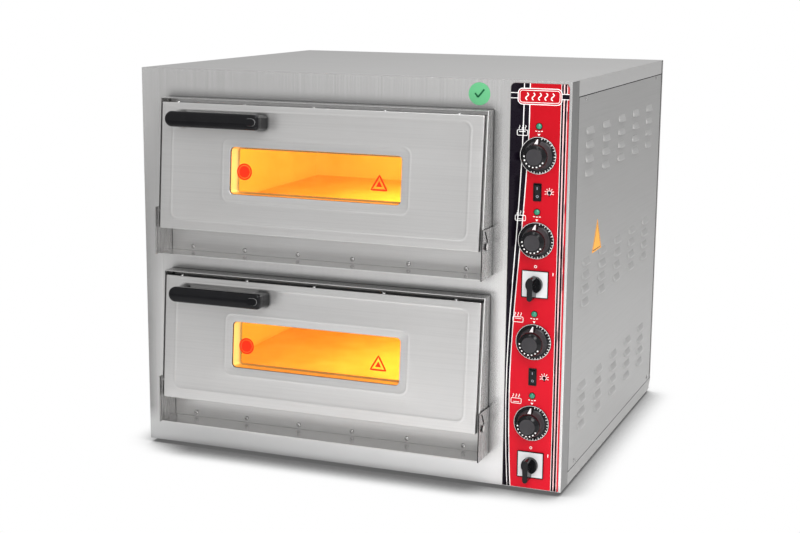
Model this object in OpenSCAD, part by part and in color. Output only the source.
// Double-deck electric countertop pizza oven, in millimetres.
// Row frame: origin under the feet, centre of the overall box; doors face -Y, +X is to the right, +Z up.
// Most modules are drawn in the oven's own frame: y = 0 is the front panel, z = 0 the cabinet's underside.
// The other frames belong to a deck, a door and a control group: at_deck(), at_door(), at_controls().

/* [Cabinet] */
// Width of the cabinet
cabinet_w = 850; // [845:5:900]
// Depth of the cabinet behind the front panel
cabinet_d = 765; // [755:5:850]
// Height of the cabinet without its feet
cabinet_h = 740; // [735:1:760]
// Thickness of the stainless sheet
sheet = 1.2; // [0.8:0.1:1.4]
// Height of the feet
foot_h = 8; // [5:1:40]
// Radius of the feet
foot_r = 18; // [12:1:25]

/* [Decks] */
// Height from one deck to the next
deck_pitch = 333; // [330:1:340]
// Height of the lower door surround above the cabinet's underside
surround_z = 57; // [50:1:60]
// Width of a door surround
surround_w = 651; // [650:1:655]
// Height of a door surround
surround_h = 297; // [296:1:300]
// How far a surround stands out of the front panel at its foot
surround_out = 57.5; // [56:0.5:60]
// Inner width of a baking chamber
chamber_w = 620; // [600:1:620]
// Height of the pizza stone's top above the surround's floor
stone_top = 70; // [68:1:72]
// Thickness of the pizza stone
stone_t = 16; // [12:1:18]

/* [Doors] */
// Angle that a closed door leans back
lean = 5; // [4:0.5:6]
// Width of a door
door_w = 639; // [630:1:640]
// Thickness of a door
door_t = 32; // [30:1:34]
// Length of a door above its hinge axis
door_up = 230; // [225:1:230]
// Length of a door below its hinge axis
door_down = 9; // [8:0.5:10]
// Width of the window
window_w = 342; // [300:1:380]
// Height of the window
window_h = 88; // [70:1:100]
// Length of the handle
handle_l = 193; // [150:1:200]
// Height of the handle
handle_h = 29; // [24:1:32]
// How far the handle stands out of the door
handle_out = 45; // [40:1:50]

/* [Controls] */
// Width of the control overlay
overlay_w = 105; // [102:1:108]
// Height from one control group to the next
control_pitch = 334.5; // [333:0.5:336]
// Radius of a thermostat dial
dial_r = 33; // [28:1:34]
// Side of a cam switch
cam_side = 49.5; // [48:0.5:52]
// Width of a rocker switch
rocker_w = 15; // [14:0.5:16]
// Height of a rocker switch
rocker_h = 32; // [31:0.5:33]

/* [Hidden] */
$fn = 48;
gap = 0.2;              // between sheets that touch on the real oven
running = 0.05;         // radial clearance of a turning pin
cut = 1;                // how far a cutter reaches past a face

// Front panel, lid and side panels
front_return = 47;      // depth of the front panel's side returns
rear_return = 10.8;     // depth of the rear panel's side returns
lid_flange = 29;
base_flange = 23.6;
rear_corner = 18;       // chamfer at the rear end of the base flanges
side_back = cabinet_d - rear_return - gap;
side_low = base_flange + gap;
side_high = cabinet_h - lid_flange - gap;

// Louvres
louvre_w = 50;
louvre_h = 12;
louvre_out = 5;
louvre_wall = 1.2;
louvre_rows = 4;
louvre_row_pitch = 25.5;
louvre_columns = 5;
louvre_column_pitch = 126;
louvre_first_y = 132;
louvre_group_z = [87, 322, 563];
rear_louvre_columns = 4;
rear_louvre_z = 560;

// Screws and rivets
screw_r = 2;
screw_head_r = 4.2;
screw_head_h = 1.6;
screw_l = 8;
screw_fit = 0.1;
side_screws = [[97, 705], [cabinet_d - 70, 705], [92, 34], [cabinet_d - 39, 34]];
rear_screws = [[-380, 70], [380, 150], [-380, 690], [380, 690]];
rivet_pitch = 111.5;
rivet_count = 6;
rivet_z = 9.3;
foot_inset = [70, 62];

// Surround, mouth and hinge, measured from the surround's floor and the front panel
deck_x = -cabinet_w / 2 + 384.5;
surround_back = 6;      // how far a surround reaches in through the front panel
hinge_y = -40.2;
hinge_z = 58.8;
mouth_behind = door_t / 2 + 4.5;
mouth_w = chamber_w - 20;
mouth_low = stone_top - 2;
mouth_high = 250;
sleeve_back = 30;
ledge_z = hinge_z - door_down + 1;
sill_h = ledge_z - gap - sheet - gap;
bracket_t = 2;
bracket_out = surround_out + 3.5;
bracket_h = 91;
pin_r = 3;
pin_head_r = 6;
pin_head_h = 2.5;
slot_w = 6;
slot_low = [7.5, 8];    // ends of the lift-off slot from the hinge axis
slot_high = [-4, 25];

// Baking chamber
chamber_y = 8;
chamber_d = 632;
chamber_low = 30;
chamber_high = 259.2;
chamber_h = chamber_high - chamber_low;
chamber_end = chamber_y + chamber_d;
ledge_w = 12;
ledge_top = stone_top - stone_t - gap;
wool_t = 25;
element_r = 4;
element_bend = 45;
element_x = [-200, 0, 200];
element_z = [44, 244];
element_front = 75;
element_back = 672;
element_fit = 0.6;
lamp_y = 210;
lamp_z = 200;
lamp_r = 24;
lamp_depth = 24;

// Door, measured from its hinge axis along its slope
face_y = -door_t / 2;
skin_fold = 10;
liner_step = 3.1;       // how far the liner shows past the skin at each side
liner_lip = 6;
window_x = -2;
window_z = 108;
window_r = 8;
window_lip = 4;
glass_t = 4;
glass_over = 12;
door_wool_t = 20;
bead_w = 6;
bead_h = 0.6;
bead_outer = [592, 207];
bead_outer_z = 114.5;
bead_inner = [373, 118];
bead_r = 14;
handle_x = -194;
handle_z = 199.5;
handle_bar = 19;
handle_leg = 24;
handle_corner = 5;
handle_screw_r = 2.1;
handle_recess = 3;
top_screw_pitch = 139.5;
top_screw_x = -8;
top_screw_y = face_y + skin_fold / 2;
top_screw_r = 1.5;

// Controls, measured from the foot of a control group
control_x = cabinet_w / 2 - 57.5;
overlay_t = 0.5;
overlay_low = 1.5;
overlay_high = 735;
overlay_r = 8;
lamp_heights = [175.8, 326.5];
dial_heights = [125, 275.7];
rocker_height = 211.2;
cam_height = 46.5;
bush_r = 5;
spindle_r = 3;
cam_neck_r = 11;
cam_stem_r = 4;
signal_r = 4;
signal_rim_r = 6.2;
signal_rim_t = 1.4;
signal_dome_r = 5.4;
hole_fit = 0.2;
panel_face = -overlay_t - 2 * gap;
dial_y = -1.6;
dial_depth = 28;
dial_grip_r = 21;
dial_cap_r = 15;
rocker_tilt = 8;
rocker_pivot_y = -0.2;
rocker_pin_r = 1.2;
control_depth = 24;     // how far lamps and dials reach in behind the front panel
rocker_body_d = 19;
rocker_wall = 0.7;
cam_body = 44;
cam_plate_t = 1.6;
bezel_t = 2.8;
bezel_w = 1.3;
bezel_floor_t = 0.6;
knob_base_r = 15;
knob_base_h = 8;
knob_bar_h = 25;
knob_bar_w = 10;
knob_bar_low = -20;
knob_bar_high = 12;
thermostat_w = 44;
thermostat_h = 36;
thermostat_d = 30;
partition_x = control_x - 65;

// Cable gland
gland_x = control_x;
gland_z = 62;
gland_r = 10;
gland_bore_r = 6.5;
gland_out = 22;
gland_in = 18;
gland_nut_r = 15;
terminal_pitch = 13;
terminal_d = 34;
terminal_h = 24;
terminal_r = 3;

// The handle's front edge is the foremost point, and the gland's end is the rearmost
handle_reach = -hinge_y + (handle_out - face_y) * cos(lean) - (handle_z - handle_h / 2) * sin(lean);
front_y = (handle_reach - cabinet_d - gland_out) / 2;

lower = 0;
upper = 1;
floor_heat = 0;
ceiling_heat = 1;

// ---- Frames ----

module in_oven() {
    translate([0, front_y, foot_h]) children();
}

module at_deck(deck) {
    translate([deck_x, 0, surround_z + deck * deck_pitch]) children();
}

module at_door(deck) {
    at_deck(deck) translate([0, hinge_y, hinge_z]) rotate([-lean, 0, 0]) children();
}

module at_controls(deck) {
    translate([control_x, 0, deck * control_pitch]) children();
}

module both_decks() {
    for (deck = [lower, upper]) at_deck(deck) children();
}

module both_controls() {
    for (deck = [lower, upper]) at_controls(deck) children();
}

module both_sides() {
    children();
    mirror([1, 0, 0]) children();
}

// ---- Basic shapes ----

// A box centred in x, from y = 0 backwards and z = 0 upwards
module block(w, d, h) {
    translate([-w / 2, 0, 0]) cube([w, d, h]);
}

// A sheet pan with its face at y = 0, open at the back
module pan(w, d, h, t) {
    difference() {
        block(w, d, h);
        translate([0, t, t]) block(w - 2 * t, d, h - 2 * t);
    }
}

// A flat outline in x and z, given thickness from y = 0 backwards
module upright(thickness) {
    rotate([90, 0, 0]) translate([0, 0, -thickness]) linear_extrude(thickness) children();
}

// An outline in y and z, given width in x about x = 0
module across(width) {
    rotate([90, 0, 90]) linear_extrude(width, center = true) children();
}

module rod_y(r, from, to) {
    translate([0, from, 0]) rotate([-90, 0, 0]) cylinder(r = r, h = to - from);
}

module rod_x(r, from, to) {
    translate([from, 0, 0]) rotate([0, 90, 0]) cylinder(r = r, h = to - from);
}

module rounded_rect(w, h, r) {
    square([w, h - 2 * r], center = true);
    square([w - 2 * r, h], center = true);
    for (x = [-1, 1], y = [-1, 1]) translate([x * (w / 2 - r), y * (h / 2 - r)]) circle(r);
}

// ---- Cabinet ----

// Louvre seen on a panel whose outer face is x = 0, its hood standing out towards +X and open below
module louvre_hood() {
    rotate([90, 0, 0]) linear_extrude(louvre_w, center = true)
        polygon([[-sheet / 2, 0], [-sheet / 2, louvre_h], [0, louvre_h], [louvre_out, 0]]);
}

module louvre_hollow() {
    rotate([90, 0, 0]) linear_extrude(louvre_w - 2 * louvre_wall, center = true)
        polygon([[-sheet - cut, -cut / 2], [-sheet - cut, louvre_h - 2 * louvre_wall],
            [0, louvre_h - 2 * louvre_wall], [louvre_out - louvre_wall, 0],
            [louvre_out - louvre_wall, -cut / 2]]);
}

module side_louvre_places() {
    for (z = louvre_group_z, row = [0 : louvre_rows - 1], column = [0 : louvre_columns - 1])
        translate([cabinet_w / 2, louvre_first_y + column * louvre_column_pitch,
            z + row * louvre_row_pitch])
            children();
}

module rear_louvre_places() {
    for (row = [0 : louvre_rows - 1], column = [0 : rear_louvre_columns - 1])
        translate([(column - (rear_louvre_columns - 1) / 2) * louvre_column_pitch, cabinet_d,
            rear_louvre_z + row * louvre_row_pitch])
            rotate([0, 0, 90]) children();
}

module right_side_panel() {
    difference() {
        union() {
            translate([cabinet_w / 2 - sheet, front_return + gap, side_low])
                cube([sheet, side_back - front_return - gap, side_high - side_low]);
            side_louvre_places() louvre_hood();
        }
        side_louvre_places() louvre_hollow();
        for (place = side_screws)
            translate([0, place.x, place.y])
                rod_x(screw_r + screw_fit, cabinet_w / 2 - sheet - cut, cabinet_w / 2 + cut);
    }
}

module side_panel_right() {
    color("silver") in_oven() right_side_panel();
}

module side_panel_left() {
    color("silver") in_oven() mirror([1, 0, 0]) right_side_panel();
}

module front_panel() {
    color("silver") in_oven() difference() {
        union() {
            block(cabinet_w, sheet, cabinet_h);
            both_sides()
                translate([cabinet_w / 2 - sheet, 0, 0])
                    cube([sheet, front_return, cabinet_h - sheet - gap]);
        }
        both_decks()
            translate([0, -cut, -gap]) block(surround_w + 2 * gap, sheet + 2 * cut, surround_h + 2 * gap);
        both_controls() control_holes();
    }
}

module top_cover() {
    color("lightgray") in_oven() {
        translate([0, sheet + gap, cabinet_h - sheet])
            block(cabinet_w, cabinet_d - sheet - gap, sheet);
        both_sides()
            translate([cabinet_w / 2 - sheet, front_return + gap, cabinet_h - lid_flange])
                cube([sheet, side_back - front_return - gap, lid_flange]);
    }
}

module base_pan() {
    color("silver") in_oven() difference() {
        union() {
            translate([0, sheet + gap, 0])
                block(cabinet_w - 2 * sheet - 2 * gap, cabinet_d - 2 * sheet - 2 * gap, sheet);
            translate([0, front_return + gap, 0])
                block(cabinet_w, cabinet_d - front_return - gap - rear_corner, sheet);
            both_sides()
                translate([cabinet_w / 2 - sheet / 2, 0, 0]) across(sheet)
                    polygon([[front_return + gap, 0],
                        [cabinet_d - rear_corner, 0], [cabinet_d, rear_corner],
                        [cabinet_d, base_flange], [front_return + gap, base_flange]]);
        }
        foot_places() translate([0, 0, -cut]) cylinder(r = screw_r + screw_fit, h = sheet + 2 * cut);
    }
}

module rear_panel() {
    color("silver") in_oven() difference() {
        union() {
            translate([0, cabinet_d - sheet, side_low])
                block(cabinet_w, sheet, cabinet_h - sheet - gap - side_low);
            both_sides()
                translate([cabinet_w / 2 - sheet, cabinet_d - rear_return, side_low])
                    cube([sheet, rear_return, cabinet_h - sheet - gap - side_low]);
            rear_louvre_places() louvre_hood();
        }
        rear_louvre_places() louvre_hollow();
        translate([gland_x, 0, gland_z])
            rod_y(gland_r + hole_fit, cabinet_d - sheet - cut, cabinet_d + cut);
        for (place = rear_screws)
            translate([place.x, 0, place.y])
                rod_y(screw_r + screw_fit, cabinet_d - sheet - cut, cabinet_d + cut);
    }
}

module foot_places() {
    for (x = [-1, 1], y = [foot_inset.y, cabinet_d - foot_inset.y])
        translate([x * (cabinet_w / 2 - foot_inset.x), y, 0]) children();
}

module feet() {
    color("dimgray") in_oven() foot_places() {
        translate([0, 0, -foot_h]) cylinder(r1 = foot_r - 2, r2 = foot_r, h = foot_h - gap);
        translate([0, 0, -gap - 0.5]) cylinder(r = screw_r, h = screw_l);
    }
}

// The wall between the hot decks and the wiring
module partition() {
    color("gainsboro") in_oven()
        translate([partition_x, 10, 5]) cube([1, cabinet_d - 20, cabinet_h - 15]);
}

module casing_screw(out) {
    rod_x(screw_head_r, out + gap / 2, out + screw_head_h);
    rod_x(screw_r, out - screw_l, out + screw_head_h / 2);
}

module casing_screws() {
    color("gray") in_oven() {
        both_sides()
            for (place = side_screws)
                translate([0, place.x, place.y]) casing_screw(cabinet_w / 2);
        for (place = rear_screws)
            translate([place.x, 0, place.y]) rotate([0, 0, 90]) casing_screw(cabinet_d);
    }
}

// Threaded body with an outer nut and an inner locknut, bored for the mains cable
module cable_gland() {
    color("dimgray") in_oven() translate([gland_x, cabinet_d, gland_z]) rotate([-90, 0, 0]) difference() {
        union() {
            translate([0, 0, -gland_in]) cylinder(r = gland_r, h = gland_in + gland_out);
            translate([0, 0, gap]) cylinder(r = gland_nut_r, h = gland_out / 2, $fn = 6);
            translate([0, 0, gland_out * 0.6]) cylinder(r = gland_nut_r - 1.5, h = gland_out * 0.3);
            translate([0, 0, -sheet - gap - 5]) cylinder(r = gland_nut_r, h = 5, $fn = 6);
        }
        translate([0, 0, -gland_in - cut]) cylinder(r = gland_bore_r, h = gland_in + gland_out + 2 * cut);
    }
}

module terminal_block() {
    color("ivory") in_oven() translate([gland_x, cabinet_d - 110, sheet + gap]) difference() {
        block(5 * terminal_pitch + 7, terminal_d, terminal_h);
        for (way = [-2 : 2])
            translate([way * terminal_pitch, terminal_d / 2, terminal_h / 2])
                cylinder(r = terminal_r, h = terminal_h);
    }
}

// ---- Decks ----

module element_places() {
    for (x = element_x, leg = [-1, 1], z = element_z)
        translate([x + leg * element_bend, 0, z]) children();
}

module lamp_place() {
    translate([chamber_w / 2, lamp_y, lamp_z]) children();
}

module chamber(deck) {
    color("darkgray") in_oven() at_deck(deck) difference() {
        union() {
            difference() {
                translate([0, chamber_y, chamber_low])
                    block(chamber_w + 2 * sheet, chamber_d, chamber_h);
                translate([0, chamber_y - cut, chamber_low + sheet])
                    block(chamber_w, chamber_d - sheet + cut, chamber_h - 2 * sheet);
            }
            both_sides()
                translate([chamber_w / 2 - ledge_w, chamber_y + sleeve_back, ledge_top - sheet])
                    cube([ledge_w + sheet / 2, chamber_d - sleeve_back - sheet, sheet]);
        }
        element_places() rod_y(element_r + element_fit, chamber_end - 2 * sheet, chamber_end + cut);
        lamp_place() rod_x(lamp_r + hole_fit, -cut, sheet + cut);
    }
}

// Mineral wool wrapped round a chamber, open at the front
module insulation(deck) {
    color("khaki") in_oven() at_deck(deck) difference() {
        translate([0, chamber_y + 4, chamber_low - wool_t])
            block(chamber_w + 2 * (sheet + wool_t), chamber_d - 4 + wool_t, chamber_h + 2 * wool_t);
        translate([0, 0, chamber_low - gap])
            block(chamber_w + 2 * (sheet + gap), chamber_end + gap, chamber_h + 2 * gap);
        element_places() rod_y(element_r + element_fit, chamber_end - cut, chamber_end + wool_t + cut);
        lamp_place() rod_x(lamp_r + 2 * hole_fit, 0, wool_t + sheet + cut);
    }
}

module pizza_stone(deck) {
    color("burlywood") in_oven() at_deck(deck)
        translate([0, sleeve_back + 3, stone_top - stone_t]) block(chamber_w - 10, 600, stone_t);
}

// A hairpin of heating tube: two legs and a half-round bend at the front
module heating_tube() {
    for (leg = [-1, 1])
        translate([leg * element_bend, 0, 0]) rod_y(element_r, element_front, element_back);
    translate([0, element_front, 0]) rotate([0, 0, 180])
        rotate_extrude(angle = 180) translate([element_bend, 0]) circle(element_r);
}

module elements(deck) {
    color("dimgray") in_oven() at_deck(deck)
        for (x = element_x, z = element_z) translate([x, 0, z]) heating_tube();
}

module lamp_holders() {
    color("whitesmoke") in_oven() both_decks() lamp_place() difference() {
        rod_x(lamp_r, -0.5, lamp_depth);
        rod_x(lamp_r - 3, -cut, lamp_depth - 3);
    }
}

module lamp_bulbs() {
    color("lightyellow") in_oven() both_decks() lamp_place() {
        rod_x(7, 6, lamp_depth - 3 - gap);
        translate([6, 0, 0]) sphere(7);
    }
}

module lamp_covers() {
    color("azure") in_oven() both_decks() lamp_place() difference() {
        union() {
            rod_x(lamp_r + 4, -4, -0.8);
            rod_x(lamp_r - 4, -9, -3);
        }
        rod_x(lamp_r - 7, -6, 0);
    }
}

// Cheeks, roof, floor, sill flange and the leaning mouth panel with its sleeve, welded into one frame
module surround(deck) {
    inner_w = surround_w - 2 * sheet;
    roof_front = -surround_out + surround_h * tan(lean);
    color("silver") in_oven() at_deck(deck) difference() {
        union() {
            both_sides()
                translate([surround_w / 2 - sheet / 2, 0, 0]) across(sheet)
                    polygon([[-surround_out, 0], [surround_back, 0],
                        [surround_back, surround_h], [roof_front, surround_h]]);
            translate([0, -surround_out, 0]) block(surround_w, surround_out + surround_back, sheet);
            translate([0, -surround_out, 0]) block(surround_w, 7, 2 * sheet);
            translate([0, roof_front, surround_h - sheet])
                block(surround_w, surround_back - roof_front, sheet);
            block(surround_w - sheet, sheet, ledge_z + sheet / 2);
            translate([0, -mouth_behind - 1, ledge_z])
                block(surround_w - sheet, mouth_behind + 1 + sheet, sheet);
            mouth_panel();
            sleeve();
        }
        translate([0, -surround_out, mouth_low])
            block(mouth_w, surround_out + sleeve_back + cut, mouth_high - mouth_low);
        rivet_places() rod_y(screw_r, -cut, sheet + cut);
        both_sides() {
            translate([0, hinge_y, hinge_z])
                rod_x(pin_r + running, inner_w / 2 - cut, surround_w / 2 + cut);
            translate([surround_w / 2, 0, 0]) across(3 * sheet) lift_slot();
        }
    }
}

module mouth_panel() {
    translate([0, hinge_y, hinge_z]) rotate([-lean, 0, 0]) translate([0, mouth_behind, -door_down + 3])
        block(surround_w - sheet, sheet, surround_h - hinge_z + door_down - 1);
}

module sleeve() {
    difference() {
        translate([0, -surround_out / 2, mouth_low - sheet])
            block(mouth_w + 2 * sheet, surround_out / 2 + sleeve_back, mouth_high - mouth_low + 2 * sheet);
        translate([0, hinge_y, hinge_z]) rotate([-lean, 0, 0])
            translate([0, mouth_behind - surround_out, -door_down])
                block(surround_w, surround_out, surround_h);
    }
}

module rivet_places() {
    for (i = [0 : rivet_count - 1])
        translate([(i - (rivet_count - 1) / 2) * rivet_pitch, 0, rivet_z]) children();
}

module sill_plates() {
    color("silver") in_oven() both_decks() difference() {
        translate([0, -sheet - gap, sheet + gap]) block(surround_w - 2 * sheet - 2 * gap, sheet, sill_h);
        rivet_places() rod_y(screw_r, -sheet - cut, cut);
    }
}

module sill_rivets() {
    color("gray") in_oven() both_decks() rivet_places() {
        rod_y(screw_head_r, -sheet - 2 * gap - screw_head_h, -sheet - 2 * gap);
        rod_y(screw_r - screw_fit, -sheet - 3 * gap, sheet + 3);
    }
}

// Plates outside the cheeks that carry the hinge pins, each with a slanted lift-off slot above the pin
module hinge_brackets() {
    color("lightgray") in_oven() both_decks() both_sides()
        translate([surround_w / 2 + gap + bracket_t / 2, 0, 0]) across(bracket_t) difference() {
            polygon([[-bracket_out, gap], [-gap, gap],
                [-gap, bracket_h - 2], [-bracket_out + 2, bracket_h]]);
            translate([hinge_y, hinge_z]) circle(pin_r + running);
            lift_slot();
        }
}

// Outline in y and z of the slanted slot, which is cut through the cheek as well
module lift_slot() {
    translate([hinge_y, hinge_z] + (slot_low + slot_high) / 2)
        rotate(atan2(slot_high.y - slot_low.y, slot_high.x - slot_low.x))
            rounded_rect(norm(slot_high - slot_low) + slot_w, slot_w, slot_w / 2 - 0.1);
}

// ---- Doors ----

module window_outline(grow, r) {
    translate([window_x, window_z]) rounded_rect(window_w + 2 * grow, window_h + 2 * grow, r);
}

module pin_holes() {
    both_sides() rod_x(pin_r + running, door_w / 2 - 2, door_w / 2 + liner_step + cut);
}

module bead_ring(size) {
    difference() {
        rounded_rect(size.x + bead_w, size.y + bead_w, bead_r);
        rounded_rect(size.x - bead_w, size.y - bead_w, bead_r - bead_w);
    }
}

module top_screw_places() {
    for (i = [-2 : 2])
        translate([top_screw_x + i * top_screw_pitch, top_screw_y, door_up]) children();
}

module handle_screw_place(end) {
    translate([handle_x + end * (handle_l / 2 - handle_leg / 2), 0, handle_z]) children();
}

module door_skin(deck) {
    color("lightgray") in_oven() at_door(deck) difference() {
        union() {
            translate([0, face_y, -door_down]) pan(door_w, skin_fold, door_up + door_down, sheet);
            translate([0, face_y - bead_h, 0]) upright(bead_h + sheet / 2) {
                translate([0, bead_outer_z]) bead_ring(bead_outer);
                translate([window_x, window_z]) bead_ring(bead_inner);
            }
        }
        translate([0, face_y - cut - bead_h, 0])
            upright(sheet + 2 * cut + bead_h) window_outline(0, window_r);
        top_screw_places() translate([0, 0, -sheet - cut])
            cylinder(r = top_screw_r + screw_fit, h = sheet + 2 * cut);
        for (end = [-1, 1])
            handle_screw_place(end) rod_y(handle_screw_r + screw_fit, face_y - cut, face_y + sheet + cut);
    }
}

// Inner pan behind the skin, lipped at the front and joined to the window's tunnel
module door_liner(deck) {
    liner_y = face_y + skin_fold + 0.5;
    liner_w = door_w + 2 * liner_step;
    liner_d = door_t / 2 - liner_y;
    liner_h = door_up + door_down - 1;
    tunnel_y = face_y + sheet + glass_t + 2 * gap;
    color("gainsboro") in_oven() at_door(deck) difference() {
        union() {
            translate([0, liner_y, -door_down]) difference() {
                block(liner_w, liner_d, liner_h);
                translate([0, sheet, sheet])
                    block(liner_w - 2 * sheet, liner_d - 2 * sheet, liner_h - 2 * sheet);
                translate([0, -cut, liner_lip])
                    block(liner_w - 2 * liner_lip, sheet + 2 * cut, liner_h - 2 * liner_lip);
            }
            translate([0, tunnel_y, 0]) upright(door_t / 2 - sheet / 2 - tunnel_y)
                window_outline(sheet + gap, window_r + sheet);
        }
        translate([0, tunnel_y - cut, 0])
            upright(door_t / 2 - sheet - tunnel_y + cut) window_outline(gap, window_r);
        upright(door_t) window_outline(-window_lip, window_r - window_lip);
        pin_holes();
    }
}

module door_insulation(deck) {
    color("khaki") in_oven() at_door(deck) difference() {
        translate([0, -door_wool_t / 2, door_down]) block(door_w - 14, door_wool_t, door_up - 24);
        translate([0, -door_wool_t / 2 - cut, 0])
            upright(door_wool_t + 2 * cut) window_outline(sheet + 3 * gap, window_r);
    }
}

module door_glass(deck) {
    color("orange", 0.5) in_oven() at_door(deck) {
        translate([0, face_y + sheet + gap, 0]) upright(glass_t) window_outline(glass_over, window_r);
        translate([0, door_t / 2 - sheet - gap - glass_t, 0]) upright(glass_t) window_outline(0, window_r);
    }
}

module handle_outline() {
    left = -handle_l / 2 + handle_h / 2;
    right = handle_l / 2 - handle_corner;
    translate([left, 0]) circle(handle_h / 2);
    translate([left, -handle_h / 2]) square([right - left, handle_h]);
    translate([left, -handle_h / 2 + handle_corner])
        square([right + handle_corner - left, handle_h - 2 * handle_corner]);
    for (z = [-1, 1]) translate([right, z * (handle_h / 2 - handle_corner)]) circle(handle_corner);
}

module handle(deck) {
    front = face_y - handle_out;
    color("black") in_oven() at_door(deck) difference() {
        translate([handle_x, front, handle_z]) upright(handle_out - gap) handle_outline();
        translate([handle_x, front + handle_bar, handle_z - handle_h])
            block(handle_l - 2 * handle_leg, handle_out, 2 * handle_h);
        handle_screw_place(1) {
            rod_y(handle_screw_r + screw_fit, front - cut, face_y);
            translate([0, front - cut, 0]) upright(handle_recess + cut) rounded_rect(18, 11, 5);
        }
        handle_screw_place(-1) rod_y(handle_screw_r + screw_fit, face_y - 16, face_y);
    }
}

// Five screws along the top edge and two that hold the handle
module door_screws(deck) {
    front = face_y - handle_out;
    color("gray") in_oven() at_door(deck) {
        top_screw_places() {
            translate([0, 0, gap / 2]) cylinder(r = 3.5, h = 2);
            translate([0, 0, -6]) cylinder(r = top_screw_r, h = 7);
        }
        handle_screw_place(1) {
            rod_y(handle_screw_r, front + handle_recess - 1, face_y + sheet + 2);
            rod_y(handle_screw_r + 2, front + 0.8, front + handle_recess - gap);
        }
        handle_screw_place(-1) {
            rod_y(handle_screw_r, face_y - 15, face_y + sheet + 2);
            rod_y(handle_screw_r + 2, face_y + sheet + gap, face_y + sheet + 2);
        }
    }
}

module hinge_pins(deck) {
    head_x = surround_w / 2 + 2 * gap + bracket_t;
    color("gray") in_oven() at_door(deck) both_sides() {
        rod_x(pin_r, door_w / 2 - 9, head_x + 1);
        rod_x(pin_head_r, head_x, head_x + pin_head_h);
    }
}

// ---- Controls ----

module control_holes() {
    for (z = lamp_heights) translate([0, 0, z]) rod_y(signal_r + hole_fit, -5, 5);
    for (z = dial_heights) translate([0, 0, z]) rod_y(bush_r + hole_fit, -5, 5);
    translate([0, 0, cam_height]) rod_y(cam_neck_r + hole_fit, -5, 5);
    translate([0, -5, rocker_height - rocker_h / 2 + 1.5 - hole_fit])
        block(rocker_w - 2 + 2 * hole_fit, 10, rocker_h - 3 + 2 * hole_fit);
}

// Printed sheet, square at the foot and rounded at the top corners
module control_overlay() {
    color("crimson") in_oven() difference() {
        translate([control_x, -overlay_t - gap, 0]) upright(overlay_t) {
            translate([-overlay_w / 2, overlay_low])
                square([overlay_w, overlay_high - overlay_low - overlay_r]);
            translate([0, overlay_high - overlay_r]) rounded_rect(overlay_w, 2 * overlay_r, overlay_r);
        }
        both_controls() control_holes();
    }
}

module thermostats() {
    color("gainsboro") in_oven() both_controls() for (z = dial_heights) translate([0, 0, z]) difference() {
        union() {
            rod_y(bush_r, -gap, 10);
            translate([0, 8, -thermostat_h / 2]) block(thermostat_w, thermostat_d, thermostat_h);
        }
        rod_y(spindle_r + running, -cut, control_depth - 2);
    }
}

// Dial with a flat skirt, a tapered grip and a sloping pointer that faces up when the heat is off
module dial(deck, heat) {
    rim = dial_depth - 3;
    color("black") in_oven() at_controls(deck) translate([0, dial_y, dial_heights[heat]]) rotate([90, 0, 0])
        difference() {
            union() {
                rotate_extrude()
                    polygon([[0, 0], [dial_r, 0], [dial_r, 1.5], [dial_grip_r + 5, 3],
                        [dial_grip_r + 2, 5], [dial_grip_r, rim - 3], [dial_grip_r - 2, rim],
                        [dial_cap_r, dial_depth], [0, dial_depth]]);
                across(5) polygon([[dial_cap_r, 1], [dial_r - 3, 1],
                    [dial_r - 3, 4], [dial_cap_r, rim + 2]]);
            }
            translate([0, 0, -cut]) cylinder(r = spindle_r + running, h = 19 + cut);
        }
}

module spindle(deck, heat) {
    color("goldenrod") in_oven() at_controls(deck) translate([0, 0, dial_heights[heat]])
        rod_y(spindle_r, dial_y - 18, control_depth - 3);
}

module cam_switch_bodies() {
    color("dimgray") in_oven() both_controls() translate([0, 0, cam_height]) difference() {
        union() {
            translate([0, panel_face - bezel_t, 0]) upright(bezel_t) difference() {
                rounded_rect(cam_side, cam_side, 2);
                square(cam_side - 2 * bezel_w, center = true);
            }
            translate([0, panel_face - bezel_floor_t, 0])
                upright(bezel_floor_t) square(cam_side - bezel_w, center = true);
            rod_y(cam_neck_r, panel_face - bezel_floor_t / 2, 4);
            translate([0, sheet + gap, -cam_body / 2]) block(cam_body, 50, cam_body);
        }
        rod_y(cam_stem_r + running, -5, control_depth + 2);
    }
}

module cam_switch_plates() {
    color("white") in_oven() both_controls()
        translate([0, panel_face - bezel_floor_t - gap - cam_plate_t, cam_height]) difference() {
            upright(cam_plate_t) square(cam_side - 2 * bezel_w - 2 * gap, center = true);
            rod_y(cam_stem_r + 1, -cut, cam_plate_t + cut);
        }
}

// Bar knob on a round base, moulded with the stem that turns the cam
module cam_knob(deck) {
    color("black") in_oven() at_controls(deck)
        translate([0, panel_face - bezel_t - gap / 2, cam_height]) rotate([90, 0, 0]) {
            cylinder(r = knob_base_r, h = knob_base_h);
            translate([0, 0, knob_base_h - 1]) linear_extrude(knob_bar_h) {
                translate([-knob_bar_w / 2, knob_bar_low])
                    square([knob_bar_w, knob_bar_high - knob_bar_low]);
                for (z = [knob_bar_low, knob_bar_high]) translate([0, z]) circle(knob_bar_w / 2);
            }
            translate([0, 0, -control_depth - 1]) cylinder(r = cam_stem_r, h = control_depth + 2);
        }
}

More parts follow.
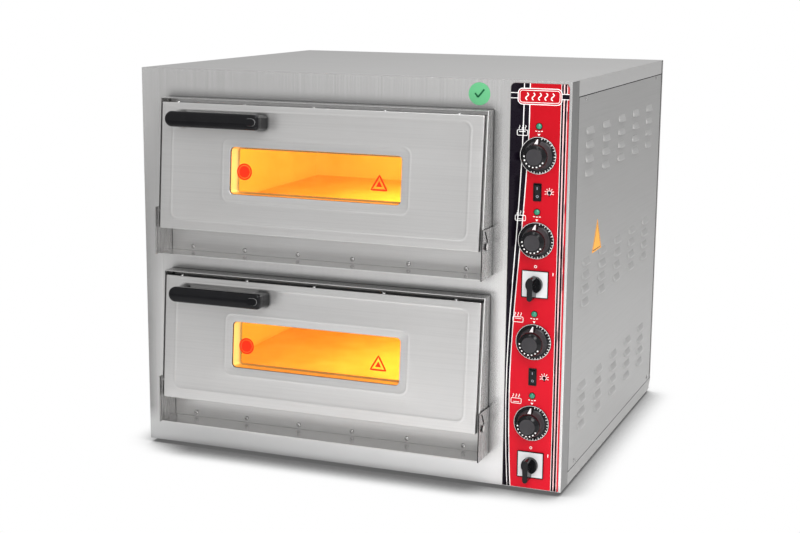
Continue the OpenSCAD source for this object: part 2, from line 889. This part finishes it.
module rocker_housings() {
    color("black") in_oven() both_controls() translate([0, 0, rocker_height]) difference() {
        union() {
            translate([0, panel_face - 1.5, 0]) upright(1.5) rounded_rect(rocker_w, rocker_h, 1.5);
            translate([0, panel_face - 0.5, -rocker_h / 2 + 1.5])
                block(rocker_w - 2, rocker_body_d, rocker_h - 3);
        }
        translate([0, -5, -rocker_h / 2 + 1.5 + rocker_wall])
            block(rocker_w - 3 - 2 * rocker_wall, rocker_body_d - 2, rocker_h - 3 - 2 * rocker_wall);
        translate([0, rocker_pivot_y, 0])
            rod_x(rocker_pin_r + running, -rocker_w / 2 + 1.4, rocker_w / 2 - 1.4);
    }
}

// Rocker pressed in at its lower end, with a stub axle at each side
module rocker(deck) {
    reach = rocker_h / 2 - 2.8;
    color("black") in_oven() at_controls(deck) translate([0, rocker_pivot_y, rocker_height])
        rotate([rocker_tilt, 0, 0]) {
            across(rocker_w - 5)
                polygon([[-3, reach], [-1.8, 0], [-3, -reach],
                    [0, -reach], [3.5, -9], [3.5, 9], [0, reach]]);
            rod_x(rocker_pin_r, -rocker_w / 2 + 1.6, rocker_w / 2 - 1.6);
        }
}

module indicator_lamps() {
    color("seagreen") in_oven() both_controls() for (z = lamp_heights) translate([0, 0, z]) {
        rod_y(signal_rim_r, panel_face - signal_rim_t, panel_face);
        rod_y(signal_r, panel_face - signal_rim_t / 2, control_depth);
        intersection() {
            translate([0, panel_face + signal_rim_t, 0]) sphere(signal_dome_r);
            rod_y(signal_dome_r, panel_face - 2 * signal_dome_r, panel_face - signal_rim_t / 2);
        }
    }
}

// ---- Nodes ----

base_pan();
feet();
front_panel();
side_panel_left();
side_panel_right();
top_cover();
rear_panel();
partition();
casing_screws();
cable_gland();
terminal_block();
chamber(upper);  // chamber_upper
chamber(lower);  // chamber_lower
insulation(upper);  // insulation_upper
insulation(lower);  // insulation_lower
pizza_stone(upper);  // pizza_stone_upper
pizza_stone(lower);  // pizza_stone_lower
elements(upper);  // elements_upper
elements(lower);  // elements_lower
lamp_holders();
lamp_bulbs();
lamp_covers();
surround(upper);  // surround_upper
surround(lower);  // surround_lower
hinge_brackets();
sill_plates();
sill_rivets();
control_overlay();
thermostats();
cam_switch_bodies();
cam_switch_plates();
rocker_housings();
indicator_lamps();
door_skin(upper);  // door_skin_upper
door_liner(upper);  // door_liner_upper
door_insulation(upper);  // door_insulation_upper
door_glass(upper);  // door_glass_upper
handle(upper);  // handle_upper
door_screws(upper);  // door_screws_upper
hinge_pins(upper);  // hinge_pins_upper
door_skin(lower);  // door_skin_lower
door_liner(lower);  // door_liner_lower
door_insulation(lower);  // door_insulation_lower
door_glass(lower);  // door_glass_lower
handle(lower);  // handle_lower
door_screws(lower);  // door_screws_lower
hinge_pins(lower);  // hinge_pins_lower
dial(upper, ceiling_heat);  // dial_upper_ceiling
dial(upper, floor_heat);  // dial_upper_floor
dial(lower, ceiling_heat);  // dial_lower_ceiling
dial(lower, floor_heat);  // dial_lower_floor
spindle(upper, ceiling_heat);  // spindle_upper_ceiling
spindle(upper, floor_heat);  // spindle_upper_floor
spindle(lower, ceiling_heat);  // spindle_lower_ceiling
spindle(lower, floor_heat);  // spindle_lower_floor
cam_knob(upper);  // cam_knob_upper
cam_knob(lower);  // cam_knob_lower
rocker(upper);  // rocker_upper
rocker(lower);  // rocker_lower
